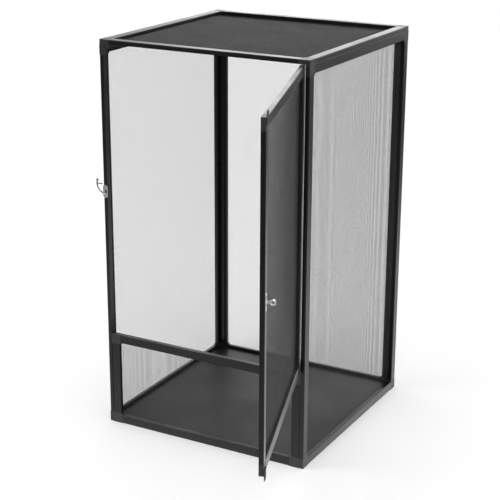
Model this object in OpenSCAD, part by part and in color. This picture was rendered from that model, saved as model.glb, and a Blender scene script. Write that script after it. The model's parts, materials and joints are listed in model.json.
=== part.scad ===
// Tall mesh terrarium: six frames of hollow aluminium section, joined at plastic corner connectors,
// five of them fixed and one hung as the door, over a solid floor board.
// Millimetres, +Z up, origin on the floor's underside at the middle of the cage. The door is on -Y.

/* [Cage] */
// Outside width, left to right
cage_w = 450; // [380:10:600]
// Outside depth, front to back
cage_d = 450; // [380:10:600]
// Outside height
cage_h = 800; // [700:10:1000]
// Height of the fixed panel under the door
lower_h = 198; // [150:2:260]

/* [Frame section] */
// Width of a frame member, across its broad face
frame_w = 18.5; // [17.5:0.5:22]
// Thickness of a frame member
frame_t = 8.5; // [8:0.5:11]
// Wall of the hollow section
wall_t = 1; // [0.8:0.1:1.2]
// Width of the groove that holds the mesh
groove_w = 3.6; // [3.4:0.1:4]
// Depth of that groove
groove_d = 4.2; // [4:0.1:4.6]
// Width of the lip inside the groove
lip_w = 3.2; // [2.6:0.1:3.6]
// How far the lip is set down for the mesh
lip_drop = 0.9; // [0.8:0.1:1.2]
// Bevel along the edges of the outer face
bevel = 1.3; // [0.6:0.1:1.4]

/* [Corner connectors] */
// Side of a connector's square head
head_w = 21.5; // [21:0.5:26]
// Round on a head's outside corner
head_round = 1.5; // [0.5:0.1:2.5]
// Length of a leg inside the hollow member
leg_l = 28; // [18:1:45]
// Play between a leg's ribs and the hollow
leg_fit = 0.1; // [0.05:0.05:0.2]
// Height of the ribs on a leg
rib_h = 0.6; // [0.3:0.1:1]
// Length of one rib
rib_l = 2; // [1:0.5:3]
// Spacing of the ribs
rib_pitch = 6; // [4:0.5:9]
// Seam left between a head and the member's end
seam = 0.15; // [0.05:0.05:0.3]
// Length of the shallow pocket in the edge of a side frame's heads
pocket_l = 13; // [8:0.5:15]
// Width of that pocket
pocket_w = 4.5; // [3:0.1:5]
// Depth of that pocket
pocket_d = 0.8; // [0.4:0.1:1]

/* [Mesh] */
// Thickness of the mesh
mesh_t = 0.6; // [0.4:0.1:0.7]
// Play round the mesh's edge
mesh_fit = 0.1; // [0.05:0.05:0.2]
// Width of one strand of the net
strand_w = 1.2; // [0.8:0.1:3]
// Spacing of the net's strands
net_pitch = 40; // [36:1:60]
// Radius of the rubber cord in the groove
cord_r = 1.3; // [1.1:0.05:1.35]

/* [Dowels and floor] */
// Radius of a joining dowel
dowel_r = 2; // [1.5:0.1:2.5]
// Length of a joining dowel
dowel_l = 12; // [8:0.5:13]
// Radial play of a dowel in its bore
dowel_fit = 0.05; // [0.02:0.01:0.1]
// Thickness of the floor board
floor_t = 12; // [6:0.5:14]
// Play between the floor board and the frames
floor_fit = 0.2; // [0.1:0.05:0.3]
// Bevel along the floor board's top edges
floor_bevel = 1; // [0.5:0.1:2]
// Distance of the floor's dowels from the middle, front and back
floor_dowel_y = 140; // [80:5:140]

/* [Door] */
// How far the door stands open
door_open = 109; // [0:1:118]
// Gap round the door on three sides
door_gap = 1.5; // [1:0.1:3]
// Radius of the hinge pins
pin_r = 1.5; // [1.2:0.1:1.8]
// Running play of a pin in its bore
pin_fit = 0.05; // [0.02:0.01:0.1]
// Depth of a pin in the door's corner
pin_in_door = 12; // [8:0.5:16]
// Depth of a pin in the frame
pin_in_frame = 4.5; // [3:0.5:5.5]
// Pin's axis, from the door's hinged edge
pin_edge = 4.5; // [4:0.1:6]
// Pin's axis, from the door's outer face
pin_face = 3; // [2.8:0.1:3.6]
// Room for the door's edge as it turns
swing_room = 0.4; // [0.3:0.1:1.5]

/* [Stop tabs] */
// Width of a tab on the door's face
tab_w = 16; // [12:0.5:18]
// Length of a tab
tab_l = 22; // [20:0.5:24]
// How far a tab reaches past the door's edge
tab_over = 9; // [6:0.5:9.5]
// Thickness of a tab
tab_t = 1.4; // [1:0.1:2]
// Round of a tab's corners
tab_round = 3; // [1:0.5:5]
// Gap from a tab to the frame behind it, with the door shut
tab_gap = 0.3; // [0.2:0.05:0.4]
// Radius of a tab's peg
peg_r = 1.5; // [1:0.1:2]
// Length of a tab's peg
peg_l = 3.5; // [2.5:0.1:4]

/* [Latch] */
// Height of the hook's pivot above the ground
latch_z = 496; // [350:1:560]
// Middle of the hook's plate, above the pivot
plate_up = 2.5; // [0:0.5:3]
// Width of the two plates
plate_w = 9.5; // [8:0.1:9.8]
// Length of the hook's plate
hook_plate_l = 27; // [26:0.5:32]
// Length of the catch's plate
catch_plate_l = 31; // [26:0.5:36]
// Thickness of the two plates
plate_t = 1.2; // [1:0.1:1.5]
// Radius of a screw's shank
screw_r = 1.2; // [1:0.1:1.5]
// Radius of a screw's head
screw_head_r = 2.4; // [2.1:0.1:2.8]
// Length of a screw behind its plate
screw_l = 5; // [3:0.5:5.5]
// Radius of the hook's rod
rod_r = 1.3; // [1.1:0.1:1.5]
// Radius of the hook's bend, to the rod's middle
bend_r = 19.5; // [18:0.5:20]
// How far the hook's rod runs round its bend
bend_turn = 110; // [100:1:118]
// Middle of the bend, right of the pivot
bend_right = 2; // [1:0.1:2.5]
// Radius of the ball at the hook's tip
ball_r = 2.6; // [2:0.1:2.8]
// Height of the prong above the pivot, with the hook open
prong_up = 18; // [16:0.5:20]
// Length of the prong from the rod's middle
prong_l = 12.5; // [9:0.5:13]
// Radius of the prong
prong_r = 1.2; // [0.9:0.1:1.3]
// Radius of the hook's eye at the rivet
boss_r = 4.2; // [3.8:0.1:4.6]
// Gap between the post's plate and the hook
hook_gap = 0.5; // [0.4:0.1:1]
// Radius of the rivet
rivet_r = 1.5; // [1.2:0.1:1.8]
// Radius of the rivet's head
rivet_head_r = 3.3; // [3:0.1:3.8]
// Turn of the hook from open to shut
hook_turn = 133; // [128:1:134]
// Gap from the shut hook down to the catch
catch_gap = 0.4; // [0.3:0.1:1]
// Radius of the catch's wire
wire_r = 0.9; // [0.8:0.1:1]
// Half the distance between its two wires
wire_apart = 1.3; // [1.2:0.1:1.5]
// Radius of the catch's ring, to the wire's middle
ring_r = 3.9; // [3.6:0.1:4.6]
// Radius of the ring's wire
ring_wire_r = 1.5; // [1.1:0.1:1.6]
// Ring's middle, from the plate's face
ring_out = 9.7; // [9.2:0.1:12]

/* [Hidden] */
$fn = 48;
// Cuts run this far past the face they open
past = 0.5;
// The frame's finish, the connectors', the mesh's, the rubber's, the floor's and the latch's
frame_colour = "#26272a";
connector_colour = "#3c3e41";
mesh_colour = "#5b5d60";
rubber_colour = "#1a1a1b";
floor_colour = "#45474a";
steel_colour = "#c3c6ca";

// The section, from the member's outside edge
groove_at = frame_w - lip_w - groove_w;
chamber_w = groove_at - 2 * wall_t;
chamber_t = frame_t - 2 * wall_t;
// Mesh and cord in the groove
mesh_edge = groove_at + groove_w - mesh_fit;
skirt_edge = mesh_edge - mesh_t;
mesh_face = frame_t - lip_drop + mesh_fit;
cord_at = (groove_at + skirt_edge) / 2;
cord_deep = mesh_face - mesh_fit - cord_r;

// Faces of the cage
half_w = cage_w / 2;
half_d = cage_d / 2;
inner_w = cage_w - 2 * frame_t;
side_h = cage_h - frame_t;
rib_n = floor((leg_l - rib_l) / rib_pitch);

// The hinge: its pins stand clear of the side frame by the sweep of the door's own corner
sweep_r = norm([pin_edge, pin_face]);
pin_x = half_w - frame_t - sweep_r - swing_room;
pin_y = pin_face - half_d;
door_left = door_gap - inner_w / 2;
door_w = pin_x + pin_edge - door_left;
door_z = lower_h + door_gap;
door_h = side_h - door_gap - door_z;

// The latch: the catch lies under the top of the shut hook's bend
pivot_x = frame_t / 2 - half_w;
plate_z = latch_z + plate_up;
bend_up = bend_r - 1;
// The eye's faces stand this far past the rod's sides
eye_proud = 0.05;
bend_start = asin((bend_right + (rivet_r + boss_r) / 2) / bend_r);
hook_y = -half_d - plate_t - hook_gap - rod_r;
shut_x = bend_up * sin(hook_turn) + bend_right * cos(hook_turn);
shut_z = bend_up * cos(hook_turn) - bend_right * sin(hook_turn);
catch_x = pivot_x + shut_x;
catch_z = latch_z + shut_z + bend_r - rod_r - catch_gap - wire_apart - wire_r;

// Dowels: [place, turned to lie along X]
DOWELS = concat(
  [for (x = [-1, 1], y = [-1, 1])
    [[x * (half_w - frame_t / 2), y * (half_d - head_w / 2), side_h], false]],
  [for (x = [-1, 1], z = [head_w / 2, side_h - head_w / 2])
    [[x * inner_w / 2, half_d - frame_t / 2, z], true]],
  [for (x = [-1, 1], z = [head_w / 2, lower_h - head_w / 2])
    [[x * inner_w / 2, frame_t / 2 - half_d, z], true]],
  [for (x = [-1, 1], y = [-1, 1])
    [[x * inner_w / 2, y * floor_dowel_y, floor_t / 2], true]]
);

// ---- One frame, lying with its outer face down: width on X, height on Y, thickness on Z ----

// The extruded section, hollow, with the groove and the lowered lip on its inner face
module member_section() {
  difference() {
    polygon([
      [bevel, 0], [frame_w - bevel, 0], [frame_w, bevel],
      [frame_w, frame_t], [0, frame_t], [0, bevel]
    ]);
    translate([wall_t, wall_t]) square([chamber_w, chamber_t]);
    translate([groove_at, frame_t - groove_d]) square([groove_w, groove_d + past]);
    translate([groove_at, frame_t - lip_drop]) square([frame_w, lip_drop + past]);
  }
}

// The upright member on the frame's left
module left_stile(h) {
  reach = h - 2 * (head_w + seam);
  color(frame_colour)
    translate([0, head_w + seam + reach, 0]) rotate([90, 0, 0])
      linear_extrude(reach) member_section();
}

// The upright member on the frame's right
module right_stile(w, h) {
  translate([w, 0, 0]) mirror([1, 0, 0]) left_stile(h);
}

// The level member at the frame's foot
module bottom_rail(w) {
  color(frame_colour)
    translate([head_w + seam, 0, 0]) rotate([90, 0, 90])
      linear_extrude(w - 2 * (head_w + seam)) member_section();
}

// The level member at the frame's head
module top_rail(w, h) {
  translate([0, h, 0]) mirror([0, 1, 0]) bottom_rail(w);
}

// A leg with ribs that grip the inside of the hollow member
module connector_leg() {
  core = leg_fit + rib_h;
  translate([wall_t + core, head_w - past, wall_t + core])
    cube([chamber_w - 2 * core, leg_l + past, chamber_t - 2 * core]);
  for (i = [0:rib_n - 1])
    translate([wall_t + leg_fit, head_w + rib_pitch * (i + 1) - rib_l, wall_t + leg_fit])
      cube([chamber_w - 2 * leg_fit, rib_l, chamber_t - 2 * leg_fit]);
}

// The head's outline: a square with its outside corner rounded
module head_outline() {
  difference() {
    square(head_w);
    translate([-past, -past]) square(head_round + past);
  }
  translate([head_round, head_round]) circle(head_round);
}

// One corner connector: head, mesh groove round the corner, and two legs
module connector() {
  difference() {
    linear_extrude(frame_t) head_outline();
    translate([groove_at, groove_at, frame_t - groove_d])
      difference() {
        cube([head_w, head_w, groove_d + past]);
        translate([groove_w, groove_w, -past])
          cube([head_w, head_w, groove_d - lip_drop + past]);
      }
  }
  connector_leg();
  mirror([1, -1, 0]) connector_leg();
}

// The shallow pocket in the edge of a head
module edge_pocket() {
  translate([-past, (head_w - pocket_l) / 2, (frame_t - pocket_w) / 2])
    cube([pocket_d + past, pocket_l, pocket_w]);
}

// The four connectors of a frame, with pockets in their upright edges or without
module connectors(w, h, pockets = false) {
  color(connector_colour)
    for (x = [0, 1], y = [0, 1])
      translate([x * w, y * h, 0]) mirror([x, 0, 0]) mirror([0, y, 0])
        difference() {
          connector();
          if (pockets) edge_pocket();
        }
}

// The rubber cord that wedges the mesh into the groove
module spline(w, h) {
  near = cord_at;
  color(rubber_colour)
    for (side = [0, 1]) {
      translate([near, side ? h - near : near, cord_deep]) {
        rotate([0, 90, 0]) cylinder(r = cord_r, h = w - 2 * near);
        sphere(cord_r);
      }
      translate([side ? w - near : near, near, cord_deep]) {
        rotate([-90, 0, 0]) cylinder(r = cord_r, h = h - 2 * near);
        translate([0, side ? h - 2 * near : 0, 0]) sphere(cord_r);
      }
    }
}

// The net, seen flat: strands at an even spacing between the members
module net(w, h) {
  across = w - 2 * frame_w;
  up = h - 2 * frame_w;
  columns = round(across / net_pitch);
  rows = round(up / net_pitch);
  step = [across / columns, up / rows];
  difference() {
    translate([skirt_edge, skirt_edge]) square([w - 2 * skirt_edge, h - 2 * skirt_edge]);
    for (i = [0:columns - 1], j = [0:rows - 1])
      translate([frame_w + i * step.x + strand_w / 2, frame_w + j * step.y + strand_w / 2])
        square([step.x - strand_w, step.y - strand_w]);
  }
}

// The mesh: the net on the lips, and its turned edge down in the groove
module mesh_sheet(w, h) {
  foot = frame_t - groove_d + mesh_fit;
  color(mesh_colour) {
    translate([0, 0, mesh_face]) linear_extrude(mesh_t) net(w, h);
    translate([0, 0, foot]) linear_extrude(mesh_face + mesh_t - foot)
      difference() {
        translate([skirt_edge, skirt_edge]) square([w - 2 * skirt_edge, h - 2 * skirt_edge]);
        translate([mesh_edge, mesh_edge]) square([w - 2 * mesh_edge, h - 2 * mesh_edge]);
      }
  }
}

// ---- Where each frame stands ----

// Left side: outer face on -X
module on_left() {
  translate([-half_w, -half_d, 0]) rotate([90, 0, 90]) children();
}

// Right side: the left side's twin
module on_right() {
  mirror([1, 0, 0]) on_left() children();
}

// Back, between the sides: outer face on +Y
module on_back() {
  translate([-inner_w / 2, half_d, 0]) rotate([90, 0, 0]) children();
}

// Lid, over all of them: outer face on +Z, front edge at the foot
module on_top() {
  translate([-half_w, -half_d, cage_h]) mirror([0, 0, 1]) children();
}

// Front, from a height and a left edge: outer face on -Y
module on_front(left, z) {
  mirror([0, 1, 0]) translate([left, half_d, z]) rotate([90, 0, 0]) children();
}

// Under the door, between the sides
module on_lower() {
  on_front(-inner_w / 2, 0) children();
}

// Everything that turns with the door, drawn shut and swung about its pins
module swing() {
  translate([pin_x, pin_y, 0]) rotate([0, 0, door_open]) translate([-pin_x, -pin_y, 0])
    children();
}

// The door's own frame
module on_door() {
  swing() on_front(door_left, door_z) children();
}

// ---- Dowels, pins and their bores ----

module dowel_set(play) {
  for (d = DOWELS)
    translate(d[0]) rotate([0, d[1] ? 90 : 0, 0])
      cylinder(r = dowel_r + play, h = dowel_l + 4 * play, center = true);
}

// The two hinge pins, where they stand, grown by a running play
module pin_set(play) {
  for (top = [0, 1])
    translate([pin_x, pin_y, top ? side_h - door_gap - pin_in_door : lower_h - pin_in_frame])
      translate([0, 0, -2 * play])
        cylinder(r = pin_r + play, h = pin_in_door + door_gap + pin_in_frame + 4 * play);
}

module with_dowel_bores() {
  difference() {
    children();
    dowel_set(dowel_fit);
  }
}

module with_pin_bores() {
  difference() {
    children();
    pin_set(pin_fit);
  }
}

// ---- Stop tabs ----

// Both tabs' places on the door: at its free edge, below and above
module at_free_corners() {
  on_door() {
    children();
    translate([0, door_h, 0]) mirror([0, 1, 0]) children();
  }
}

// A tab seen flat, with round corners
module tab_outline() {
  translate([tab_round, 0]) square([tab_w - 2 * tab_round, tab_l]);
  translate([0, tab_round]) square([tab_w, tab_l - 2 * tab_round]);
  for (x = [tab_round, tab_w - tab_round], y = [tab_round, tab_l - tab_round])
    translate([x, y]) circle(tab_round);
}

// The peg that holds a tab in its connector
module tab_peg(play) {
  translate([tab_w / 2, (tab_l - tab_over) / 2, -tab_t / 2])
    cylinder(r = peg_r + play, h = peg_l + play + tab_t / 2);
}

// A tab on the door's lower corner: the end past the door's edge stands off by the gap
module stop_tab() {
  difference() {
    translate([0, -tab_over, -tab_t]) linear_extrude(tab_t) tab_outline();
    translate([-past, -tab_over - past, -tab_gap])
      cube([tab_w + 2 * past, tab_over + past, tab_gap + past]);
  }
  tab_peg(0);
}

// ---- Latch ----

// One screw, point towards +Z, its flush head on the plane of the plate's face
module screw() {
  cone_h = plate_t * 0.8;
  cylinder(r1 = screw_head_r, r2 = screw_r, h = cone_h);
  cylinder(r = screw_r, h = plate_t + screw_l);
}

// The hollow that the screw needs in a plate and in the wall behind it
module screw_hole() {
  play = dowel_fit;
  cone_h = plate_t * 0.8;
  translate([0, 0, -past]) cylinder(r = screw_head_r + play, h = past);
  cylinder(r1 = screw_head_r + play, r2 = screw_r + play, h = cone_h);
  cylinder(r = screw_r + play, h = plate_t + screw_l + play);
}

// Both holes or both screws of a plate, at the middles of its round ends
module pair(length) {
  for (side = [-1, 1]) translate([0, side * (length - plate_w) / 2, 0]) children();
}

// Stands a flat shape of the latch on the front, its face at -Y
module on_face(x, z, out) {
  translate([x, -half_d - out, z]) rotate([-90, 0, 0]) children();
}

// The plate on the post: a strip with round ends
module post_plate_outline() {
  reach = (hook_plate_l - plate_w) / 2;
  square([plate_w, 2 * reach], center = true);
  for (side = [-1, 1]) translate([0, side * reach]) circle(plate_w / 2);
}

// The plate on the door: three lobes on a narrow strip
module lobed_outline() {
  reach = (catch_plate_l - plate_w) / 2;
  square([plate_w * 0.7, 2 * reach], center = true);
  for (side = [-1, 0, 1]) translate([0, side * reach]) circle(plate_w / 2);
}

module rivet_hole(play) {
  on_face(pivot_x, latch_z, plate_t + hook_gap + 2 * rod_r + past)
    cylinder(r = rivet_r + play, h = plate_t + hook_gap + 2 * rod_r + screw_l + past);
}

module latch_holes() {
  on_face(pivot_x, plate_z, plate_t) pair(hook_plate_l) screw_hole();
  rivet_hole(dowel_fit);
}

module catch_holes() {
  swing() on_face(catch_x, catch_z, plate_t) pair(catch_plate_l) screw_hole();
}

// ---- Nodes ----

module left_panel_front_stile() {
  difference() {
    with_dowel_bores() on_left() left_stile(side_h);
    latch_holes();
  }
}
module left_panel_rear_stile() { on_left() right_stile(cage_d, side_h); }
module left_panel_top_rail() { on_left() top_rail(cage_d, side_h); }
module left_panel_bottom_rail() { with_dowel_bores() on_left() bottom_rail(cage_d); }
module left_panel_corners() {
  with_dowel_bores() on_left() connectors(cage_d, side_h, pockets = true);
}
module left_panel_spline() { on_left() spline(cage_d, side_h); }
module left_panel_mesh() { on_left() mesh_sheet(cage_d, side_h); }

module right_panel_front_stile() { with_dowel_bores() on_right() left_stile(side_h); }
module right_panel_rear_stile() { on_right() right_stile(cage_d, side_h); }
module right_panel_top_rail() { on_right() top_rail(cage_d, side_h); }
module right_panel_bottom_rail() { with_dowel_bores() on_right() bottom_rail(cage_d); }
module right_panel_corners() {
  with_dowel_bores() on_right() connectors(cage_d, side_h, pockets = true);
}
module right_panel_spline() { on_right() spline(cage_d, side_h); }
module right_panel_mesh() { on_right() mesh_sheet(cage_d, side_h); }

module back_panel_left_stile() { on_back() left_stile(side_h); }
module back_panel_right_stile() { on_back() right_stile(inner_w, side_h); }
module back_panel_top_rail() { on_back() top_rail(inner_w, side_h); }
module back_panel_bottom_rail() { on_back() bottom_rail(inner_w); }
module back_panel_corners() { with_dowel_bores() on_back() connectors(inner_w, side_h); }
module back_panel_spline() { on_back() spline(inner_w, side_h); }
module back_panel_mesh() { on_back() mesh_sheet(inner_w, side_h); }

module lid_left_rail() { on_top() left_stile(cage_d); }
module lid_right_rail() { on_top() right_stile(cage_w, cage_d); }
module lid_rear_rail() { on_top() top_rail(cage_w, cage_d); }
module lid_front_rail() { on_top() bottom_rail(cage_w); }
module lid_corners() { with_pin_bores() with_dowel_bores() on_top() connectors(cage_w, cage_d); }
module lid_spline() { on_top() spline(cage_w, cage_d); }
module lid_mesh() { on_top() mesh_sheet(cage_w, cage_d); }

module lower_panel_left_stile() { on_lower() left_stile(lower_h); }
module lower_panel_right_stile() { on_lower() right_stile(inner_w, lower_h); }
module lower_panel_top_rail() { on_lower() top_rail(inner_w, lower_h); }
module lower_panel_bottom_rail() { on_lower() bottom_rail(inner_w); }
module lower_panel_corners() {
  with_pin_bores() with_dowel_bores() on_lower() connectors(inner_w, lower_h);
}
module lower_panel_spline() { on_lower() spline(inner_w, lower_h); }
module lower_panel_mesh() { on_lower() mesh_sheet(inner_w, lower_h); }

module door_free_stile() {
  difference() {
    on_door() left_stile(door_h);
    catch_holes();
  }
}
module door_hinge_stile() { on_door() right_stile(door_w, door_h); }
module door_top_rail() { on_door() top_rail(door_w, door_h); }
module door_bottom_rail() { on_door() bottom_rail(door_w); }
module door_corners() {
  difference() {
    with_pin_bores() on_door() connectors(door_w, door_h);
    at_free_corners() tab_peg(dowel_fit);
  }
}
module door_spline() { on_door() spline(door_w, door_h); }
module door_mesh() { on_door() mesh_sheet(door_w, door_h); }

// The solid floor board, bevelled along its top edges
module floor_panel() {
  board = [inner_w - 2 * floor_fit, cage_d - 2 * frame_t - 2 * floor_fit];
  color(floor_colour)
    with_dowel_bores()
      intersection() {
        translate([-board.x / 2, -board.y / 2, 0]) cube([board.x, board.y, floor_t]);
        translate([0, board.y / 2, 0]) rotate([90, 0, 0])
          linear_extrude(board.y) bevelled_edge(board.x);
        translate([-board.x / 2, 0, 0]) rotate([90, 0, 90])
          linear_extrude(board.x) bevelled_edge(board.y);
      }
}

module bevelled_edge(across) {
  half = across / 2;
  polygon([
    [-half, 0], [half, 0], [half, floor_t - floor_bevel],
    [half - floor_bevel, floor_t], [floor_bevel - half, floor_t], [-half, floor_t - floor_bevel]
  ]);
}

// Steel dowels that join the sides to the lid, the back, the lower panel and the floor
module frame_dowels() { color(steel_colour) dowel_set(0); }

// The door's two hinge pins, held in its corners
module hinge_pins() { color(steel_colour) pin_set(0); }

// Tabs on the door's free corners that come up against the lid and the lower panel
module door_tabs() { color(rubber_colour) at_free_corners() stop_tab(); }

module latch_plate() {
  color(steel_colour)
    difference() {
      on_face(pivot_x, plate_z, plate_t) linear_extrude(plate_t) post_plate_outline();
      latch_holes();
    }
}

// The hook, open: eye at the rivet, bent rod, ball at the tip, and the prong
module latch_hook() {
  color(steel_colour)
    difference() {
      translate([pivot_x, hook_y, latch_z]) rotate([90, 0, 0]) {
        cylinder(r = boss_r, h = 2 * (rod_r + eye_proud), center = true);
        translate([bend_right, bend_up, 0]) {
          rotate([0, 0, 270 - bend_turn]) rotate_extrude(angle = bend_turn - bend_start)
            translate([bend_r, 0]) circle(rod_r);
          rotate([0, 0, 270 - bend_turn]) translate([bend_r, 0, 0]) sphere(ball_r);
        }
        prong_x = bend_right - sqrt(bend_r * bend_r - (prong_up - bend_up) * (prong_up - bend_up));
        translate([prong_x, prong_up, 0]) rotate([0, 90, 0]) cylinder(r = prong_r, h = prong_l);
        translate([prong_x + prong_l, prong_up, 0]) sphere(prong_r);
      }
      rivet_hole(pin_fit);
    }
}

// The rivet: shank, a collar that holds the hook off the plate, and a domed head
module latch_rivet() {
  head_y = plate_t + hook_gap + 2 * rod_r + eye_proud;
  collar_h = hook_gap - eye_proud - pin_fit;
  dome_h = 1.2;
  color(steel_colour) {
    on_face(pivot_x, latch_z, head_y + pin_fit)
      cylinder(r = rivet_r, h = head_y + pin_fit + screw_l);
    on_face(pivot_x, latch_z, plate_t + collar_h)
      cylinder(r = boss_r - wall_t, h = collar_h);
    on_face(pivot_x, latch_z, head_y + pin_fit + dome_h)
      rivet_dome(dome_h);
  }
}

// A low dome, turned from an arc
module rivet_dome(h) {
  ball = (rivet_head_r * rivet_head_r + h * h) / (2 * h);
  rotate_extrude() intersection() {
    square([rivet_head_r, h]);
    translate([0, ball]) circle(ball, $fn = 96);
  }
}

module latch_screws() {
  color(steel_colour) on_face(pivot_x, plate_z, plate_t) pair(hook_plate_l) screw();
}

module catch_plate() {
  color(steel_colour)
    difference() {
      swing() on_face(catch_x, catch_z, plate_t) linear_extrude(plate_t) lobed_outline();
      catch_holes();
    }
}

// The catch: two wires side by side that open into a ring, upright on the door's face
module catch_ring() {
  color(steel_colour)
    swing() on_face(catch_x, catch_z, plate_t) {
      translate([0, 0, -ring_out]) rotate([0, 90, 0])
        rotate_extrude() translate([ring_r, 0]) circle(ring_wire_r);
      for (side = [-1, 1])
        translate([0, side * wire_apart, ring_r - ring_out])
          cylinder(r = wire_r, h = ring_out - ring_r);
    }
}

module catch_screws() {
  color(steel_colour)
    swing() on_face(catch_x, catch_z, plate_t) pair(catch_plate_l) screw();
}

left_panel_front_stile();
left_panel_rear_stile();
left_panel_top_rail();
left_panel_bottom_rail();
left_panel_corners();
left_panel_spline();
left_panel_mesh();
right_panel_front_stile();
right_panel_rear_stile();
right_panel_top_rail();
right_panel_bottom_rail();
right_panel_corners();
right_panel_spline();
right_panel_mesh();
back_panel_left_stile();
back_panel_right_stile();
back_panel_top_rail();
back_panel_bottom_rail();
back_panel_corners();
back_panel_spline();
back_panel_mesh();
lid_left_rail();
lid_right_rail();
lid_rear_rail();
lid_front_rail();
lid_corners();
lid_spline();
lid_mesh();
lower_panel_left_stile();
lower_panel_right_stile();
lower_panel_top_rail();
lower_panel_bottom_rail();
lower_panel_corners();
lower_panel_spline();
lower_panel_mesh();
door_free_stile();
door_hinge_stile();
door_top_rail();
door_bottom_rail();
door_corners();
door_spline();
door_mesh();
floor_panel();
frame_dowels();
hinge_pins();
door_tabs();
latch_plate();
latch_hook();
latch_rivet();
latch_screws();
catch_plate();
catch_ring();
catch_screws();
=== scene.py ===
"""The tall mesh terrarium's looks: its finishes, woven screens, latch screws and the studio."""
import json
import logging
import math
from collections.abc import Callable, Iterable
from dataclasses import dataclass, field
from enum import Enum
from typing import ClassVar

import bpy
from mathutils import Matrix, Vector


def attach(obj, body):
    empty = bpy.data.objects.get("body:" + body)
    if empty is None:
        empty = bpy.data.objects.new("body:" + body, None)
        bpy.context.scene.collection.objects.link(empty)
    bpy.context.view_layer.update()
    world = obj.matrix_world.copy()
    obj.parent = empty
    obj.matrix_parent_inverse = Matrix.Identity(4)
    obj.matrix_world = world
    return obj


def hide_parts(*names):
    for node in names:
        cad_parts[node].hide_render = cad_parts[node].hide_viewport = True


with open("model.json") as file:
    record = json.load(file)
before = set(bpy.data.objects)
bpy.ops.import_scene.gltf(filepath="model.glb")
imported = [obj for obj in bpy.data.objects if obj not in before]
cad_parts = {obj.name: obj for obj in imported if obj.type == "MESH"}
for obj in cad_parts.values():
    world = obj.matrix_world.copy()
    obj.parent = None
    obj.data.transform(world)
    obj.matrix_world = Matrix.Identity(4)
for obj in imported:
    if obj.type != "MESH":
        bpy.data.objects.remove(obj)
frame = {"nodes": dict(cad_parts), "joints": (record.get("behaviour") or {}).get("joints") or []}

LOG = logging.getLogger("terrarium")
MM = 0.001
AXES = "XYZ"
# Least part of a face's normal along an axis for the face to count as looking that way.
FACING = 0.5
# Wire ends nearer than this become one.
WELD = 0.01 * MM


# ---------------------------------------------------------------- colours and nodes

def linear(hex_colour: str) -> tuple[float, float, float, float]:
    """Turns an sRGB hex colour into the linear one that a shader takes.

    Args:
        hex_colour: Six hex digits after a hash, such as "#1b1c1e".

    Returns:
        Red, green, blue and an alpha of one.
    """
    channels = [int(hex_colour[i:i + 2], 16) / 255 for i in (1, 3, 5)]
    red, green, blue = (
        c / 12.92 if c <= 0.04045 else ((c + 0.055) / 1.055) ** 2.4 for c in channels
    )
    return red, green, blue, 1.0


def add_node(
    tree: bpy.types.NodeTree, kind: str, settings: dict | None = None, inputs: dict | None = None
) -> bpy.types.Node:
    """Adds one shader node with its settings, constants and incoming links.

    Args:
        tree: The node tree that gets it.
        kind: Blender's name of the node's type.
        settings: Attribute names and their values.
        inputs: Socket names or numbers, each with a constant or with another node's output.

    Returns:
        The new node.
    """
    node = tree.nodes.new(kind)
    for name, value in (settings or {}).items():
        setattr(node, name, value)
    for name, value in (inputs or {}).items():
        if isinstance(value, bpy.types.NodeSocket):
            tree.links.new(value, node.inputs[name])
        else:
            node.inputs[name].default_value = value
    return node


def per_metre(size_mm: float) -> float:
    """The scale that gives a pattern features of this size on Object coordinates."""
    return 1 / (size_mm * MM)


# ---------------------------------------------------------------- finishes

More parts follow.
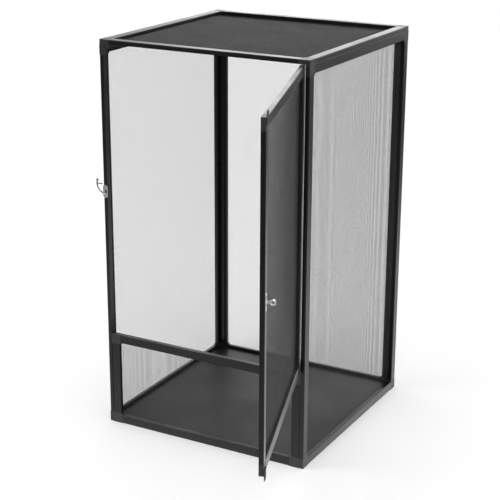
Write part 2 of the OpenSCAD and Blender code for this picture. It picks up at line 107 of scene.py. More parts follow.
@dataclass(frozen=True)
class Finish:
    """A surface with a body colour, a slowly varying gloss and a fine relief.

    Attributes:
        name: The material's name.
        colour: The surface's colour as an sRGB hex value.
        worn_colour: The colour that the slow variation drifts to.
        roughness: Its lowest and highest roughness.
        drift_mm: The size of the slow variation.
        grain_mm: The size of the relief's features.
        relief_mm: The relief's height.
        metallic: One for bare or plated metal, else nought.
        specular: Specular level; a half is an index of refraction of 1.5.
    """

    name: str
    colour: str
    worn_colour: str
    roughness: tuple[float, float]
    drift_mm: float
    grain_mm: float
    relief_mm: float
    metallic: float = 0.0
    specular: float = 0.5
    # Octaves of the slow variation and of the relief, and what a noise mostly lies between.
    drift_detail: ClassVar[float] = 3.0
    grain_detail: ClassVar[float] = 2.0
    noise_span: ClassVar[tuple[float, float]] = (0.3, 0.7)

    def make(self) -> bpy.types.Material:
        """Makes the material.

        Returns:
            A material whose patterns read Object coordinates.
        """
        material = bpy.data.materials.new(self.name)
        material.use_nodes = True
        tree = material.node_tree
        shader = tree.nodes["Principled BSDF"]
        place = add_node(tree, "ShaderNodeTexCoord").outputs["Object"]
        drift = add_node(
            tree, "ShaderNodeTexNoise", {},
            {"Vector": place, "Scale": per_metre(self.drift_mm), "Detail": self.drift_detail},
        ).outputs["Fac"]
        tint = add_node(
            tree, "ShaderNodeMix", {"data_type": "RGBA"},
            {"Factor": drift, "A": linear(self.colour), "B": linear(self.worn_colour)},
        ).outputs["Result"]
        gloss = add_node(
            tree, "ShaderNodeMapRange", {},
            {"Value": drift, "From Min": self.noise_span[0], "From Max": self.noise_span[1],
             "To Min": self.roughness[0], "To Max": self.roughness[1]},
        ).outputs["Result"]
        relief = add_node(
            tree, "ShaderNodeBump", {},
            {"Height": self.height(tree, place), "Distance": self.relief_mm * MM},
        ).outputs["Normal"]
        tree.links.new(tint, shader.inputs["Base Color"])
        tree.links.new(gloss, shader.inputs["Roughness"])
        tree.links.new(relief, shader.inputs["Normal"])
        shader.inputs["Metallic"].default_value = self.metallic
        shader.inputs["Specular IOR Level"].default_value = self.specular
        return material

    def height(self, tree: bpy.types.NodeTree, place: bpy.types.NodeSocket) -> bpy.types.NodeSocket:
        """The relief's height, as an even grain.

        Args:
            tree: The material's node tree.
            place: The Object coordinates.

        Returns:
            The output that holds the height.
        """
        return add_node(
            tree, "ShaderNodeTexNoise", {},
            {"Vector": place, "Scale": per_metre(self.grain_mm), "Detail": self.grain_detail},
        ).outputs["Fac"]


@dataclass(frozen=True)
class DrawnFinish(Finish):
    """A finish whose relief runs in lines, as on metal that was drawn or brushed.

    Attributes:
        stretch: How much shorter the pattern is on each axis than along the lines.
    """

    stretch: tuple[float, float, float] = (1.0, 1.0, 0.05)

    def height(self, tree: bpy.types.NodeTree, place: bpy.types.NodeSocket) -> bpy.types.NodeSocket:
        """The relief's height, as a grain drawn out into lines.

        Args:
            tree: The material's node tree.
            place: The Object coordinates.

        Returns:
            The output that holds the height.
        """
        drawn = add_node(
            tree, "ShaderNodeMapping", {}, {"Vector": place, "Scale": self.stretch}
        ).outputs["Vector"]
        return super().height(tree, drawn)


class Finishes(Enum):
    """The finishes of the cage's own pieces."""

    # Black powder coat on aluminium section: satin, with a faint orange peel. The peel's true
    # size of about 1 mm is drawn at 3 mm, so that it shows.
    POWDER_COAT = Finish(
        "Powder-coated aluminium", "#0c0d0e", "#121314", (0.26, 0.38), 90, 3, 0.02, specular=0.4)
    # Moulded nylon corners: a little paler and duller than the coat, with a spark-eroded grain.
    MOULDED_NYLON = Finish(
        "Moulded nylon", "#2b2c2c", "#323333", (0.40, 0.52), 25, 1.2, 0.03, specular=0.5)
    # Vinyl-coated wire: charcoal, half gloss.
    COATED_WIRE = Finish(
        "Vinyl-coated wire", "#2d2e30", "#343538", (0.40, 0.50), 60, 4, 0.005, specular=0.3)
    # The cords in the grooves and the door's stop tabs: matte black rubber.
    RUBBER = Finish("Rubber", "#161617", "#1d1d1e", (0.70, 0.85), 20, 1.0, 0.03)
    # Floor of dark laminated board: low sheen, with a fine print-through of its fibres.
    LAMINATED_BOARD = Finish(
        "Laminated fibreboard", "#121415", "#191b1c", (0.42, 0.55), 140, 4, 0.02, specular=0.3)
    # Latch plate, rivet, catch and screws: bright nickel, slightly uneven from the plating barrel.
    NICKEL_PLATE = Finish(
        "Nickel-plated steel", "#eff1f3", "#d9dcdf", (0.10, 0.22), 6, 1.5, 0.02, metallic=1.0)
    # Hook: zinc-plated rod, a duller and darker grey than the plate it turns on.
    ZINC_PLATE = Finish(
        "Zinc-plated steel", "#85888c", "#75787c", (0.22, 0.34), 6, 1.5, 0.01, metallic=1.0)
    # Pins and dowels: plain drawn wire rod.
    DRAWN_STEEL = DrawnFinish(
        "Drawn steel", "#b4b7bb", "#a6a9ad", (0.28, 0.38), 10, 0.6, 0.01, metallic=1.0)


# ---------------------------------------------------------------- modelling helpers

def deselect() -> None:
    """Leaves edit mode and clears the selection, so that an operator meets only new pieces."""
    if bpy.context.object and bpy.context.object.mode != "OBJECT":
        bpy.ops.object.mode_set(mode="OBJECT")
    bpy.ops.object.select_all(action="DESELECT")


def choose(*pieces: bpy.types.Object) -> None:
    """Selects these pieces alone and makes the last one active."""
    deselect()
    for piece in pieces:
        piece.select_set(True)
        bpy.context.view_layer.objects.active = piece


def fresh(name: str) -> bpy.types.Object:
    """Names the piece that a primitive operator has just added.

    Args:
        name: The piece's name.

    Returns:
        The piece.
    """
    piece = bpy.context.object
    piece.name = name
    piece.data.name = name
    return piece


def settle(piece: bpy.types.Object) -> None:
    """Moves a piece's place, turn and scale into its mesh."""
    choose(piece)
    bpy.ops.object.transform_apply(location=True, rotation=True, scale=True)


def with_modifier(piece: bpy.types.Object, kind: str, **settings: object) -> None:
    """Adds one modifier to a piece and applies it.

    Args:
        piece: The piece.
        kind: The modifier's type.
        **settings: Its attributes and their values.
    """
    modifier = piece.modifiers.new(kind.title(), kind)
    for name, value in settings.items():
        setattr(modifier, name, value)
    choose(piece)
    bpy.ops.object.modifier_apply(modifier=modifier.name)


def repeat(piece: bpy.types.Object, count: int, step: Vector, join: bool = False) -> None:
    """Repeats a piece's mesh in a row.

    Args:
        piece: The piece.
        count: How many there are in the end.
        step: From one to the next.
        join: Whether ends that meet become one.
    """
    with_modifier(
        piece, "ARRAY", count=count, use_relative_offset=False, use_constant_offset=True,
        constant_offset_displace=step, use_merge_vertices=join, merge_threshold=WELD,
    )


def joined(name: str, pieces: list[bpy.types.Object]) -> bpy.types.Object:
    """Joins pieces into the last one and names it.

    Args:
        name: The joined piece's name.
        pieces: The pieces.

    Returns:
        The joined piece.
    """
    choose(*pieces)
    bpy.ops.object.join()
    return fresh(name)


def pick_faces(piece: bpy.types.Object, wanted: Callable[[bpy.types.MeshPolygon], bool]) -> None:
    """Selects a piece's faces by place or normal and leaves it in edit mode.

    Args:
        piece: The piece.
        wanted: Says whether a face is selected.
    """
    choose(piece)
    bpy.ops.object.mode_set(mode="EDIT")
    bpy.ops.mesh.select_mode(type="FACE")
    bpy.ops.mesh.select_all(action="DESELECT")
    bpy.ops.object.mode_set(mode="OBJECT")
    for face in piece.data.polygons:
        face.select = wanted(face)
    bpy.ops.object.mode_set(mode="EDIT")


def coat(piece: bpy.types.Object, material: bpy.types.Material) -> None:
    """Gives a piece one finish all over.

    Args:
        piece: A new piece, or one from the frame, whose slots all take the finish.
        material: The finish.
    """
    if not piece.material_slots:
        piece.data.materials.append(material)
    for holder in piece.material_slots:
        holder.material = material


def unit(axis: int, length: float = 1.0) -> Vector:
    """A vector of this length along one axis."""
    return Vector(length if i == axis else 0.0 for i in range(3))


# ---------------------------------------------------------------- where things turn

@dataclass(frozen=True)
class Swing:
    """The turn that carries a piece from where it is built to where it rests.

    Attributes:
        pivot: A point on the axis, which is upright.
        degrees: The turn, anticlockwise from above.
    """

    pivot: Vector = field(default_factory=Vector)
    degrees: float = 0.0

    @classmethod
    def of_door(cls, joints: Iterable[dict]) -> "Swing":
        """The door's turn from shut to where the photograph shows it.

        Args:
            joints: The frame's joints.

        Returns:
            The turn.
        """
        hinge = next(joint for joint in joints if joint["name"] == "door_hinge")
        return cls(Vector(hinge["pos_m"]), -hinge["range_deg"][0])

    def matrix(self, back: bool = False) -> Matrix:
        """The turn as a matrix.

        Args:
            back: Whether it is undone instead.

        Returns:
            The matrix.
        """
        degrees = -self.degrees if back else self.degrees
        turn = Matrix.Rotation(math.radians(degrees), 4, "Z")
        return Matrix.Translation(self.pivot) @ turn @ Matrix.Translation(-self.pivot)

    def box_when_shut(self, node: str) -> tuple[Vector, Vector]:
        """A CAD node's box with the turn undone.

        Args:
            node: The node's name.

        Returns:
            Its lowest and its highest corner.
        """
        undo = self.matrix(back=True)
        points = [undo @ vertex.co for vertex in frame["nodes"][node].data.vertices]
        low = Vector(min(point[axis] for point in points) for axis in range(3))
        high = Vector(max(point[axis] for point in points) for axis in range(3))
        return low, high

    def carry(self, piece: bpy.types.Object) -> None:
        """Turns a piece built shut to where it rests."""
        piece.matrix_world = self.matrix() @ piece.matrix_world
        settle(piece)


# ---------------------------------------------------------------- woven screens

class Weave(Enum):
    """Wire diameter and pitch of the cloth, in millimetres. Real cloth has a pitch of about 1.4 mm.

    NEAR is the right side's and the lower front's. FAR, the left side's and the back's, is drawn
    finer at the same share of wire, so that it doesn't beat with the cloth that it is seen through.
    CLOSE is the door's, and DENSE the lid's, which looks the darkest.
    """

    NEAR = (0.22, 1.5)
    FAR = (0.185, 1.25)
    CLOSE = (0.205, 1.5)
    DENSE = (0.38, 1.5)

    @property
    def radius(self) -> float:
        """The wire's radius, in metres."""
        return self.value[0] / 2 * MM

    @property
    def pitch(self) -> float:
        """From wire to wire, in metres."""
        return self.value[1] * MM


@dataclass
class Screen:
    """One panel's woven wire, from groove to groove.

    Attributes:
        panel: The panel's name, as its CAD nodes have it.
        outward: The axis that its outer face looks along, and the sign.
        weave: The cloth.
        body: The body that it rides on.
        swing: The turn from where it is built to where it rests.
        lengths: How many straight lengths make one wire, so that it can follow the ripple.
        sides: Faces round a wire.
        net: Thickness of the net in CAD, whose middle the cloth keeps.
        hem: Thickness of the edge that is turned down into the groove.
        ripple: How far the cloth strays from flat.
        ripple_size: How long one ripple is.
        calm: Width of the flat border along the frame.
    """

    panel: str
    outward: tuple[int, int]
    weave: Weave
    body: str
    swing: Swing
    lengths: int = 10
    sides: int = 4
    net: float = 0.6 * MM
    hem: float = 0.3 * MM
    ripple: float = 0.08 * MM
    ripple_size: float = 110 * MM
    calm: float = 40 * MM

    def build(self, material: bpy.types.Material) -> bpy.types.Object:
        """Weaves the screen and puts it in place of its CAD node.

        Args:
            material: The wire's finish.

        Returns:
            The finished piece.
        """
        node = self.panel + "_mesh"
        low, high = self.swing.box_when_shut(node)
        thin, sign = self.outward
        across, along = (axis for axis in range(3) if axis != thin)
        inner = (low if sign > 0 else high)[thin]
        level = inner + sign * self.net / 2
        threads = [
            self.threads(low, high, thin, level - self.weave.radius, run=across, step=along),
            self.threads(low, high, thin, level + self.weave.radius, run=along, step=across),
        ]
        cloth = joined(self.panel + "_screen", threads)
        self.let_ripple(cloth, low, high, (across, along), thin)
        screen = joined(self.panel + "_screen", [self.turned_edge(low, high, thin), cloth])
        self.swing.carry(screen)
        coat(screen, material)
        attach(screen, self.body)
        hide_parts(node)
        LOG.info("%s: %d faces", screen.name, len(screen.data.polygons))
        return screen

    def threads(
        self, low: Vector, high: Vector, thin: int, level: float, run: int, step: int
    ) -> bpy.types.Object:
        """Lays one layer of parallel wires.

        Args:
            low: The screen's lowest corner.
            high: Its highest corner.
            thin: The axis across the cloth.
            level: The layer's middle on that axis.
            run: The axis that the wires run along.
            step: The axis that they follow each other on.

        Returns:
            The layer.
        """
        start, end = low[run] + self.hem / 2, high[run] - self.hem / 2
        length = (end - start) / self.lengths
        width = high[step] - low[step] - 2 * self.hem
        count = int(width / self.weave.pitch)
        pitch = width / count
        middle = unit(run, start + length / 2)
        middle += unit(step, low[step] + self.hem + pitch / 2) + unit(thin, level)
        turn = Vector((0, 0, 1)).rotation_difference(unit(run)).to_euler()
        deselect()
        bpy.ops.mesh.primitive_cylinder_add(
            vertices=self.sides, radius=self.weave.radius, depth=length,
            end_fill_type="NOTHING", location=middle, rotation=turn)
        wire = fresh(self.panel + "_wire")
        settle(wire)
        repeat(wire, self.lengths, unit(run, length), join=True)
        self.close_ends(wire)
        repeat(wire, count, unit(step, pitch))
        bpy.ops.object.shade_smooth()
        return wire

    def close_ends(self, wire: bpy.types.Object) -> None:
        """Caps a wire's two open ends."""
        choose(wire)
        bpy.ops.object.mode_set(mode="EDIT")
        bpy.ops.mesh.select_mode(type="EDGE")
        bpy.ops.mesh.select_all(action="DESELECT")
        bpy.ops.mesh.select_non_manifold()
        bpy.ops.mesh.fill_holes(sides=self.sides)
        bpy.ops.mesh.select_all(action="SELECT")
        bpy.ops.mesh.normals_make_consistent(inside=False)
        bpy.ops.object.mode_set(mode="OBJECT")

    def let_ripple(
        self, cloth: bpy.types.Object, low: Vector, high: Vector, flat: tuple[int, int], thin: int
    ) -> None:
        """Gives the stretched cloth its slight waves, with none along the frame.

        Args:
            cloth: The wires of both layers.
            low: The screen's lowest corner.
            high: Its highest corner.
            flat: The two axes that the cloth lies along.
            thin: The axis across it.
        """
        free = cloth.vertex_groups.new(name="free")
        for vertex in cloth.data.vertices:
            edge = min(min(vertex.co[a] - low[a], high[a] - vertex.co[a]) for a in flat)
            free.add([vertex.index], min(1.0, max(0.0, edge / self.calm)), "REPLACE")
        waves = bpy.data.textures.new(self.panel + "_waves", "CLOUDS")
        waves.noise_scale = self.ripple_size
        waves.noise_depth = 0
        with_modifier(
            cloth, "DISPLACE", texture=waves, texture_coords="LOCAL", direction=AXES[thin],
            strength=2 * self.ripple, mid_level=0.5, vertex_group=free.name)
        cloth.vertex_groups.clear()

    def turned_edge(self, low: Vector, high: Vector, thin: int) -> bpy.types.Object:
        """Makes the cloth's edge, turned down into the frame's groove.

        Args:
            low: The screen's lowest corner.
            high: Its highest corner.
            thin: The axis across the cloth.

        Returns:
            A band round the screen.
        """
        deselect()
        bpy.ops.mesh.primitive_cube_add(size=1, location=(low + high) / 2, scale=high - low)
        band = fresh(self.panel + "_turned_edge")
        settle(band)
        pick_faces(band, lambda face: abs(face.normal[thin]) > FACING)
        bpy.ops.mesh.delete(type="FACE")
        bpy.ops.object.mode_set(mode="OBJECT")
        with_modifier(band, "SOLIDIFY", thickness=self.hem, offset=-1.0, use_even_offset=True)
        return band


# ---------------------------------------------------------------- latch screws

@dataclass
class CrossScrews:
    """The two cross-recess screws of one latch plate.

    Attributes:
        node: The CAD node that they stand for.
        body: The body that they ride on.
        swing: The turn from where they are built to where they rest.
        sides: Faces round the head.
        rise: Height of the head's crown above the plate.
        bevel: Round at the head's rim.
        bevel_steps: Faces across that round.
        shank: The shank's radius as a share of the head's, which tapers down to it at 45 degrees.
        point: Length of the point.
        point_end: The point's end as a share of the shank.
        recess: Width, length and depth of the cross's arms.
        recess_turn: How far the cross is turned from upright, in degrees.
        smooth_below: Edges under this angle are shaded smooth, in degrees.
    """

    node: str
    body: str
    swing: Swing
    sides: int = 32
    rise: float = 0.35 * MM
    bevel: float = 0.3 * MM
    bevel_steps: int = 4
    shank: float = 0.5
    point: float = 1.0 * MM
    point_end: float = 0.3
    recess: tuple[float, float, float] = (0.7 * MM, 2.8 * MM, 0.7 * MM)
    recess_turn: float = 20.0
    smooth_below: float = 35.0

    def build(self, material: bpy.types.Material) -> bpy.types.Object:
        """Models one screw, copies it and puts the pair in place of the CAD node.

        Args:
            material: The screws' finish.

        Returns:
            The pair.
        """
        low, high = self.swing.box_when_shut(self.node)
        radius = (high.x - low.x) / 2
        centres = [
            Vector(((low.x + high.x) / 2, low.y, z)) for z in (low.z + radius, high.z - radius)
        ]
        first = self.screw(radius, high.y - low.y, centres[0])
        choose(first)
        bpy.ops.object.duplicate(linked=False)
        second = fresh(self.node + "_upper")
        second.location = centres[1] - centres[0]
        settle(second)
        pair = joined(self.node + "_detailed", [second, first])
        self.swing.carry(pair)
        coat(pair, material)
        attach(pair, self.body)
        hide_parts(self.node)
        LOG.info("%s: %d faces", pair.name, len(pair.data.polygons))
        return pair

    def screw(self, radius: float, length: float, centre: Vector) -> bpy.types.Object:
        """Models one screw, its head towards the front.

        Args:
            radius: The head's radius.
            length: From the plate's face to the point.
            centre: Where the axis meets the plate's face.

        Returns:
            The screw.
        """
        sunk = radius * (1 - self.shank)
        deselect()
        bpy.ops.mesh.primitive_cylinder_add(
            vertices=self.sides, radius=radius, depth=self.rise,
            location=centre - unit(1, self.rise / 2), rotation=(math.radians(90), 0, 0))
        screw = fresh(self.node + "_screw")
        settle(screw)
        pick_faces(screw, lambda face: face.normal.y > FACING)
        self.draw_out(centre, self.shank, sunk)
        self.draw_out(centre, 1.0, length - sunk - self.point)
        self.draw_out(centre, self.point_end, self.point)
        bpy.ops.object.mode_set(mode="OBJECT")
        pick_faces(screw, lambda face: face.normal.y < -FACING)
        bpy.ops.mesh.bevel(offset=self.bevel, segments=self.bevel_steps, affect="EDGES")
        bpy.ops.object.mode_set(mode="OBJECT")
        self.cut_cross(screw, centre)
        choose(screw)
        bpy.ops.object.shade_smooth_by_angle(angle=math.radians(self.smooth_below))
        return screw

    def draw_out(self, centre: Vector, scale: float, depth: float) -> None:
        """Extrudes the picked face backwards and scales its end.

        Args:
            centre: Where the axis meets the plate's face.
            scale: The end's scale.
            depth: How far back it goes.
        """
        bpy.ops.mesh.extrude_region_move(TRANSFORM_OT_translate={"value": (0, depth, 0)})
        bpy.ops.transform.resize(value=(scale, 1, scale), center_override=centre)

    def cut_cross(self, screw: bpy.types.Object, centre: Vector) -> None:
        """Sinks the cross recess into the head.

        Args:
            screw: The screw.
            centre: Where the axis meets the plate's face.
        """
        width, length, depth = self.recess
        arms = []
        for size in ((width, length), (length, width)):
            deselect()
            bpy.ops.mesh.primitive_cube_add(
                size=1, location=centre - unit(1, self.rise),
                rotation=(0, math.radians(self.recess_turn), 0),
                scale=(size[0], 2 * depth, size[1]))
            arms.append(fresh(self.node + "_arm"))
            settle(arms[-1])
        for arm in arms:
            with_modifier(screw, "BOOLEAN", operation="DIFFERENCE", object=arm, solver="EXACT")
            bpy.data.objects.remove(arm)


# ---------------------------------------------------------------- the CAD pieces' finishes

@dataclass
class Cage:
    """All of the cage: its CAD pieces' finishes, its screens and its screws.

    Attributes:
        finishes: The materials by finish.
        by_ending: The finish of each kind of CAD node, by how its name ends.
    """

    finishes: dict[Finishes, bpy.types.Material]
    by_ending: dict[str, Finishes] = field(default_factory=lambda: {
        "_stile": Finishes.POWDER_COAT,
        "_rail": Finishes.POWDER_COAT,
        "_corners": Finishes.MOULDED_NYLON,
        "_spline": Finishes.RUBBER,
        "_tabs": Finishes.RUBBER,
        "_mesh": Finishes.COATED_WIRE,
        "floor_panel": Finishes.LAMINATED_BOARD,
        "_dowels": Finishes.DRAWN_STEEL,
        "_pins": Finishes.DRAWN_STEEL,
        "_plate": Finishes.NICKEL_PLATE,
        "_hook": Finishes.ZINC_PLATE,
        "_rivet": Finishes.NICKEL_PLATE,
        "_ring": Finishes.NICKEL_PLATE,
        "_screws": Finishes.NICKEL_PLATE,
    })

    def dress_frame(self) -> None:
        """Gives every CAD piece its finish."""
        for name, piece in sorted(frame["nodes"].items()):
            finish = next(f for ending, f in self.by_ending.items() if name.endswith(ending))
            coat(piece, self.finishes[finish])
            LOG.info("%s: %s", name, finish.value.name)

    def weave_screens(self, door: Swing) -> None:
        """Weaves the six screens.

        Args:
            door: The door's turn.
        """
        still = Swing()
        for screen in (
            Screen("left_panel", (0, -1), Weave.FAR, "cage", still),
            Screen("right_panel", (0, 1), Weave.NEAR, "cage", still),
            Screen("back_panel", (1, 1), Weave.FAR, "cage", still),
            Screen("lid", (2, 1), Weave.DENSE, "cage", still),
            Screen("lower_panel", (1, -1), Weave.NEAR, "cage", still),
            Screen("door", (1, -1), Weave.CLOSE, "door", door),
        ):
            screen.build(self.finishes[Finishes.COATED_WIRE])

    def fit_screws(self, door: Swing) -> None:
        """Fits the screws of both latch plates.

        Args:
            door: The door's turn.
        """
        for screws in (
            CrossScrews("latch_screws", "cage", Swing()),
            CrossScrews("catch_screws", "door", door),
        ):
            screws.build(self.finishes[Finishes.NICKEL_PLATE])


# ---------------------------------------------------------------- studio

@dataclass(frozen=True)
class Softbox:
    """One square lamp.

    Attributes:
        name: The lamp's name.
        azimuth: Degrees round from the front, towards the right.
        elevation: Degrees above the floor.
        distance: Metres from what it lights.
        side: Metres along its edge.
        power: Watts.
        mirrored_only: Whether it shows in reflections alone, as a panel too far off to light.
    """

    name: str
    azimuth: float
    elevation: float
    distance: float
    side: float
    power: float
    mirrored_only: bool = False

    def hang(self, target: Vector) -> None:
        """Hangs the lamp and turns it to the target.

        Args:
            target: The point that it faces.
        """
        direction = facing(self.azimuth, self.elevation)
        lamp = bpy.data.lights.new(self.name, "AREA")
        lamp.shape = "SQUARE"
        lamp.size = self.side
        lamp.energy = self.power
        holder = bpy.data.objects.new(self.name, lamp)
        holder.location = target + direction * self.distance
        holder.rotation_euler = direction.to_track_quat("Z", "Y").to_euler()
        holder.visible_diffuse = not self.mirrored_only
        bpy.context.scene.collection.objects.link(holder)


def facing(azimuth: float, elevation: float) -> Vector:
    """The direction towards a stand round the object.

    Args:
        azimuth: Degrees round from the front, towards the right.
        elevation: Degrees above the floor.

    Returns:
        A vector of length one.
    """
    around, above = math.radians(azimuth), math.radians(elevation)
    return Vector((
        math.sin(around) * math.cos(above), -math.cos(around) * math.cos(above), math.sin(above)))


@dataclass(frozen=True)
class Studio:
    """Pale floor, plain soft light, and the camera where the photograph was taken from.

    Attributes:
        floor_side: Metres along the floor's edge.
        floor_drop: How far the floor lies under the cage, so that no faces coincide.
        ambient: Strength of the light from all round.
        dark_side: Strength of what a piece mirrors from the camera's side, where the backdrop ends.
        backdrop: Y of the direction in which that starts to brighten, and in which it is white.
        table: Where the floor that a piece mirrors starts to darken, and where it has, in metres.
        mirrored_table: Strength of that floor next to the cage.
        front: Y where that floor is darkest in front of the cage, and where it no longer is.
        front_share: How much of it is left in front of the cage.
        paper: The floor's colour.
        paper_lift: What the floor adds to that where it is seen, near the cage and far off.
        lift_reach: Where the lift starts to grow, and where it has, in metres.
        azimuth: The camera's place round the cage, in degrees from the front.
        elevation: Its height, in degrees.
        roll: Its lean, in degrees.
        aim: The point in the middle of the picture.
        distance: Metres from that point.
        focal_px: Focal length, in pixels of the photograph.
        picture_px: The photograph's side, in pixels.
        sensor_mm: The camera's sensor width.
        clip_end: How far the camera sees, in metres.
    """

    floor_side: float = 12.0
    floor_drop: float = 0.2 * MM
    ambient: float = 0.68
    dark_side: float = 0.25
    backdrop: tuple[float, float] = (-0.7, 0.6)
    table: tuple[float, float] = (0.9, 2.6)
    mirrored_table: float = 1.3
    front: tuple[float, float] = (-0.7, 0.1)
    front_share: float = 0.6
    paper: str = "#f4f4f4"
    paper_lift: tuple[float, float] = (0.33, 0.38)
    lift_reach: tuple[float, float] = (1.2, 3.5)
    azimuth: float = 28.83
    elevation: float = 18.31
    roll: float = -0.23
    aim: tuple[float, float, float] = (-0.0061, -0.0213, 0.3526)
    distance: float = 2.795
    focal_px: float = 1354
    picture_px: float = 500
    sensor_mm: float = 36.0
    clip_end: float = 100.0
    lamps: tuple[Softbox, ...] = (
        Softbox("Key", -50, 45, 3.0, 0.9, 10),
        Softbox("Fill", 80, 30, 3.2, 0.9, 8),
        Softbox("Top", 0, 88, 3.0, 2.0, 8),
        Softbox("Rim", 184, 27, 3.4, 3.8, 78, mirrored_only=True),
        Softbox("Glint", 62, 56, 3.0, 1.6, 60, mirrored_only=True),
    )

    def set_up(self) -> None:
        """Builds floor, world, lamps and camera, and sets the plain view."""
        scene = bpy.context.scene
        scene.view_settings.view_transform = "Standard"
        self.lay_floor()
        self.light_world(scene)
        target = Vector(self.aim)
        for lamp in self.lamps:
            lamp.hang(target)
        self.stand_camera(scene, target)

    def lay_floor(self) -> None:
        """Lays the pale floor, which is white to the eye and keeps the cage's shadow."""
        deselect()
        bpy.ops.mesh.primitive_plane_add(size=self.floor_side, location=(0, 0, -self.floor_drop))
        floor = fresh("Studio_floor")
        settle(floor)
        material = bpy.data.materials.new("Studio paper")
        material.use_nodes = True
        tree = material.node_tree
        place = add_node(tree, "ShaderNodeTexCoord").outputs["Object"]
        distance = add_node(
            tree, "ShaderNodeVectorMath", {"operation": "LENGTH"}, {0: place}).outputs["Value"]
        lit = self.seen_floor(tree, distance)
        mirrored = self.mirrored_floor(tree, place, distance)
        glossy = add_node(tree, "ShaderNodeLightPath").outputs["Is Glossy Ray"]
        whole = add_node(
            tree, "ShaderNodeMixShader", {}, {0: glossy, 1: lit, 2: mirrored}).outputs[0]
        tree.links.new(whole, tree.nodes["Material Output"].inputs["Surface"])
        coat(floor, material)

    def seen_floor(
        self, tree: bpy.types.NodeTree, distance: bpy.types.NodeSocket
    ) -> bpy.types.NodeSocket:
        """The paper as the eye and the cage's light meet it: lit, and lifted to white where seen.

        Args:
            tree: The floor's node tree.
            distance: Metres from the cage.

        Returns:
            The shader's output.
        """
        lift = add_node(
            tree, "ShaderNodeMapRange", {},
            {"Value": distance, "From Min": self.lift_reach[0], "From Max": self.lift_reach[1],
             "To Min": self.paper_lift[0], "To Max": self.paper_lift[1]},
        ).outputs["Result"]
        shown = add_node(
            tree, "ShaderNodeMath", {"operation": "MULTIPLY"},
            {0: self.seen_ray(tree), 1: lift}).outputs[0]
        paper = add_node(
            tree, "ShaderNodeBsdfDiffuse", {}, {"Color": linear(self.paper)}).outputs[0]
        glow = add_node(tree, "ShaderNodeEmission", {}, {"Strength": shown}).outputs[0]
        return add_node(tree, "ShaderNodeAddShader", {}, {0: paper, 1: glow}).outputs[0]

    def mirrored_floor(
        self, tree: bpy.types.NodeTree, place: bpy.types.NodeSocket, distance: bpy.types.NodeSocket
    ) -> bpy.types.NodeSocket:
        """The floor as glossy pieces mirror it: bright beside and behind the cage, darker in front.

        Args:
            tree: The floor's node tree.
            place: The Object coordinates.
            distance: Metres from the cage.

        Returns:
            The shader's output.
        """
        falloff = add_node(
            tree, "ShaderNodeMapRange", {"interpolation_type": "SMOOTHSTEP"},
            {"Value": distance, "From Min": self.table[0], "From Max": self.table[1],
             "To Min": self.mirrored_table, "To Max": self.dark_side},
        ).outputs["Result"]
        depth = add_node(tree, "ShaderNodeSeparateXYZ", {}, {"Vector": place}).outputs["Y"]
        behind = add_node(
            tree, "ShaderNodeMapRange", {"interpolation_type": "SMOOTHSTEP"},
            {"Value": depth, "From Min": self.front[0], "From Max": self.front[1],
             "To Min": self.front_share, "To Max": 1.0},
        ).outputs["Result"]
        strength = add_node(
            tree, "ShaderNodeMath", {"operation": "MULTIPLY"}, {0: falloff, 1: behind}).outputs[0]
        return add_node(tree, "ShaderNodeEmission", {}, {"Strength": strength}).outputs[0]

    def light_world(self, scene: bpy.types.Scene) -> None:
        """Makes the surroundings white to the eye, softer as a light, and dark behind the camera.

        Args:
            scene: The scene that gets them.
        """
        world = bpy.data.worlds.new("Studio")
        world.use_nodes = True
        tree = world.node_tree
        direction = add_node(tree, "ShaderNodeTexCoord").outputs["Generated"]
        depth = add_node(tree, "ShaderNodeSeparateXYZ", {}, {"Vector": direction}).outputs["Y"]
        mirrored = add_node(
            tree, "ShaderNodeMapRange", {"interpolation_type": "SMOOTHSTEP"},
            {"Value": depth, "From Min": self.backdrop[0], "From Max": self.backdrop[1],
             "To Min": self.dark_side, "To Max": 1.0},
        ).outputs["Result"]
        glossy = add_node(tree, "ShaderNodeLightPath").outputs["Is Glossy Ray"]
        unseen = add_node(
            tree, "ShaderNodeMix", {"data_type": "FLOAT"},
            {"Factor": glossy, "A": self.ambient, "B": mirrored}).outputs["Result"]
        strength = add_node(
            tree, "ShaderNodeMix", {"data_type": "FLOAT"},
            {"Factor": self.seen_ray(tree), "A": unseen, "B": 1.0}).outputs["Result"]
        tree.links.new(strength, tree.nodes["Background"].inputs["Strength"])
        tree.nodes["Background"].inputs["Color"].default_value = linear("#ffffff")
        scene.world = world

    @staticmethod
    def seen_ray(tree: bpy.types.NodeTree) -> bpy.types.NodeSocket:
        """One for a ray from the camera or through a clear piece, else nought.

        Args:
            tree: The node tree that asks.

        Returns:
            The output that holds it.
        """
        path = add_node(tree, "ShaderNodeLightPath").outputs
        return add_node(
            tree, "ShaderNodeMath", {"operation": "MAXIMUM"},
            {0: path["Is Camera Ray"], 1: path["Is Transmission Ray"]}).outputs[0]

    def stand_camera(self, scene: bpy.types.Scene, target: Vector) -> None:
        """Stands the camera where the cage's corners fall as in the photograph.

        Args:
            scene: The scene that it films.
            target: The point in the middle of the picture.
        """
        lens = bpy.data.cameras.new("Photo camera")
        lens.sensor_width = self.sensor_mm
        lens.lens = self.focal_px / self.picture_px * lens.sensor_width
        lens.clip_end = self.clip_end
        lens.dof.use_dof = False
        camera = bpy.data.objects.new("Photo camera", lens)
        back = facing(self.azimuth, self.elevation)
        lean = Matrix.Rotation(math.radians(-self.roll), 4, "Z")
        camera.matrix_world = (
            Matrix.Translation(target + back * self.distance)
            @ back.to_track_quat("Z", "Y").to_matrix().to_4x4() @ lean)
        scene.collection.objects.link(camera)
        scene.camera = camera


# ---------------------------------------------------------------- all together

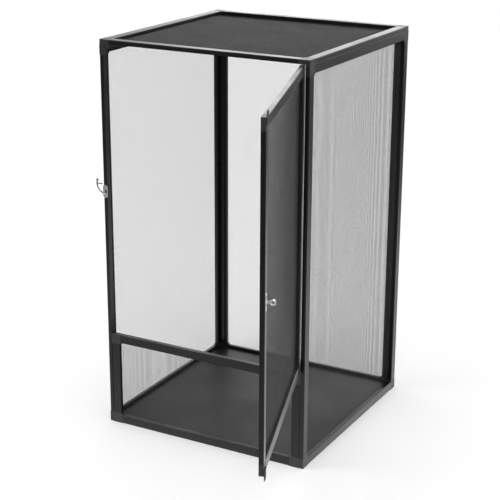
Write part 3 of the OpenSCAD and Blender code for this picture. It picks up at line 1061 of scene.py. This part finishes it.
def main() -> None:
    """Dresses the cage, adds its detailed pieces and sets up the studio."""
    logging.basicConfig(level=logging.INFO, format="%(name)s: %(message)s")
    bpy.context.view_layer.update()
    finishes = {finish: finish.value.make() for finish in Finishes}
    door = Swing.of_door(frame["joints"])
    cage = Cage(finishes)
    cage.dress_frame()
    cage.weave_screens(door)
    cage.fit_screws(door)
    Studio().set_up()


if __name__ == "__main__":
    main()
